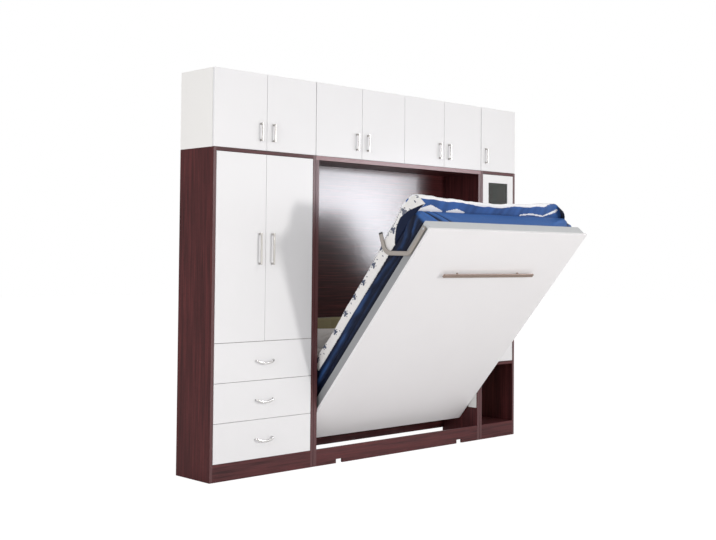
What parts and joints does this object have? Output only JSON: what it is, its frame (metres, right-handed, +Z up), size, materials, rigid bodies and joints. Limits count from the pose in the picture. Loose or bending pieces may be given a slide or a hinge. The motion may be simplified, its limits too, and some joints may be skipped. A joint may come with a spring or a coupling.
{
  "type": "cabinet bed",
  "caption": "Fold-down double bed in a wall unit with a wardrobe column, a shelf column with a glass door, drawers and a row of top cupboards, lowered halfway.",
  "frame": {"origin": "on the floor, at the middle of the unit's width, in the plane of its front edges", "axes": "+X to the right seen from the front, +Y towards the wall, +Z up"},
  "size_m": [3.24, 1.4888, 2.86],
  "materials": {
    "white_door": "gloss",
    "white_case": "satin",
    "mahogany": "gloss",
    "mahogany_edge": "satin",
    "back_board": "matte",
    "steel": "satin",
    "frame_paint": "satin",
    "white_paint": "satin",
    "slat_birch": "satin",
    "sheet_navy": "matte",
    "duvet_cotton": "matte",
    "pillow_cotton": "matte",
    "pad_cloth": "matte",
    "glass": "gloss",
    "foot_cap": "matte"
  },
  "bodies": {
    "cabinet": {"wardrobe_sides": "mahogany", "wardrobe_decks": "mahogany", "cabinet_backs": "back_board", "hanging_rail": "steel", "niche_sides": "mahogany", "niche_header": "mahogany", "niche_back": "mahogany", "headboard_pad": "pad_cloth", "pillows": "pillow_cotton", "shelf_column_sides": "mahogany", "shelf_column_decks": "mahogany", "plinth": "mahogany", "top_cabinet_sides": "white_case", "top_cabinet_decks": "white_case", "drawer_runners": "steel", "pivot_plates": "white_paint", "gas_spring_anchors": "white_paint", "wall_brackets": "steel"},
    "bed": {"bed_panel": "white_door", "bed_side_rails": "frame_paint", "bed_end_rails": "frame_paint", "bed_slats": "slat_birch", "bed_handle": "steel", "mattress": "sheet_navy", "duvet": "duvet_cotton", "gas_spring_studs": "steel"},
    "legs": {"leg_tubes": "frame_paint", "leg_shaft": "steel", "leg_feet": "foot_cap"},
    "gas_cylinders": {"gas_spring_cylinders": "frame_paint"},
    "gas_rods": {"gas_spring_rods": "steel"},
    "door_left": {"wardrobe_door_left": "white_door", "wardrobe_handle_left": "steel"},
    "door_right": {"wardrobe_door_right": "white_door", "wardrobe_handle_right": "steel"},
    "glass_door": {"glass_door_frame": "white_door", "glass_pane": "glass", "glass_door_handle": "steel"},
    "top_leaf_1": {"top_door_1": "white_door", "top_handle_1": "steel"},
    "top_leaf_2": {"top_door_2": "white_door", "top_handle_2": "steel"},
    "top_leaf_3": {"top_door_3": "white_door", "top_handle_3": "steel"},
    "top_leaf_4": {"top_door_4": "white_door", "top_handle_4": "steel"},
    "top_leaf_5": {"top_door_5": "white_door", "top_handle_5": "steel"},
    "top_leaf_6": {"top_door_6": "white_door", "top_handle_6": "steel"},
    "top_leaf_7": {"top_door_7": "white_door", "top_handle_7": "steel"},
    "drawer_1": {"wardrobe_drawer_1": "white_door", "wardrobe_drawer_pull_1": "steel"},
    "drawer_2": {"wardrobe_drawer_2": "white_door", "wardrobe_drawer_pull_2": "steel"},
    "drawer_3": {"wardrobe_drawer_3": "white_door", "wardrobe_drawer_pull_3": "steel"},
    "small_drawer": {"column_drawer": "white_door", "column_drawer_pull": "steel"}
  },
  "joints": [
    {"name": "bed_tilt", "type": "hinge", "parent": "cabinet", "child": "bed", "pos_m": [0.233, 0.049, 0.408], "axis": [1, 0, 0], "range_deg": [-39.94, 50.4], "stiffness_Nm_per_rad": 625, "springref_deg": -43.72},
    {"name": "leg_swing", "type": "hinge", "parent": "bed", "child": "legs", "pos_m": [0.233, -1.03073, 1.71465], "axis": [1, 0, 0], "range_deg": [0, 207]},
    {"name": "gas_swing", "type": "hinge", "parent": "cabinet", "child": "gas_cylinders", "pos_m": [0.233, 0.14, 0.64], "axis": [1, 0, 0], "range_deg": [-18, 22]},
    {"name": "gas_stroke", "type": "slide", "parent": "gas_cylinders", "child": "gas_rods", "axis": [0, -0.031, -0.9995], "range_m": [-0.086, 0.068]},
    {"name": "door_left_swing", "type": "hinge", "parent": "cabinet", "child": "door_left", "pos_m": [-1.593, 0, 1.6], "axis": [0, 0, -1], "range_deg": [0, 110]},
    {"name": "door_right_swing", "type": "hinge", "parent": "cabinet", "child": "door_right", "pos_m": [-0.727, 0, 1.6], "axis": [0, 0, 1], "range_deg": [0, 90]},
    {"name": "glass_door_swing", "type": "hinge", "parent": "cabinet", "child": "glass_door", "pos_m": [1.593, 0, 1.6], "axis": [0, 0, 1], "range_deg": [0, 90]},
    {"name": "top_swing_1", "type": "hinge", "parent": "cabinet", "child": "top_leaf_1", "pos_m": [-1.6185, 0, 1.6], "axis": [0, 0, -1], "range_deg": [0, 85]},
    {"name": "top_swing_2", "type": "hinge", "parent": "cabinet", "child": "top_leaf_2", "pos_m": [-0.7015, 0, 1.6], "axis": [0, 0, 1], "range_deg": [0, 85]},
    {"name": "top_swing_3", "type": "hinge", "parent": "cabinet", "child": "top_leaf_3", "pos_m": [-0.6955, 0, 1.6], "axis": [0, 0, -1], "range_deg": [0, 85]},
    {"name": "top_swing_4", "type": "hinge", "parent": "cabinet", "child": "top_leaf_4", "pos_m": [0.2315, 0, 1.6], "axis": [0, 0, 1], "range_deg": [0, 85]},
    {"name": "top_swing_5", "type": "hinge", "parent": "cabinet", "child": "top_leaf_5", "pos_m": [0.2345, 0, 1.6], "axis": [0, 0, -1], "range_deg": [0, 85]},
    {"name": "top_swing_6", "type": "hinge", "parent": "cabinet", "child": "top_leaf_6", "pos_m": [1.1615, 0, 1.6], "axis": [0, 0, 1], "range_deg": [0, 85]},
    {"name": "top_swing_7", "type": "hinge", "parent": "cabinet", "child": "top_leaf_7", "pos_m": [1.6185, 0, 1.6], "axis": [0, 0, 1], "range_deg": [0, 85]},
    {"name": "drawer_slide_1", "type": "slide", "parent": "cabinet", "child": "drawer_1", "axis": [0, -1, 0], "range_m": [0, 0.26]},
    {"name": "drawer_slide_2", "type": "slide", "parent": "cabinet", "child": "drawer_2", "axis": [0, -1, 0], "range_m": [0, 0.26]},
    {"name": "drawer_slide_3", "type": "slide", "parent": "cabinet", "child": "drawer_3", "axis": [0, -1, 0], "range_m": [0, 0.26]},
    {"name": "small_drawer_slide", "type": "slide", "parent": "cabinet", "child": "small_drawer", "axis": [0, -1, 0], "range_m": [0, 0.26]}
  ],
  "couplings": [
    {"joint": "gas_swing", "follows": "bed_tilt", "ratio": 0.28},
    {"joint": "gas_stroke", "follows": "bed_tilt", "m_per_rad": -0.088}
  ]
}
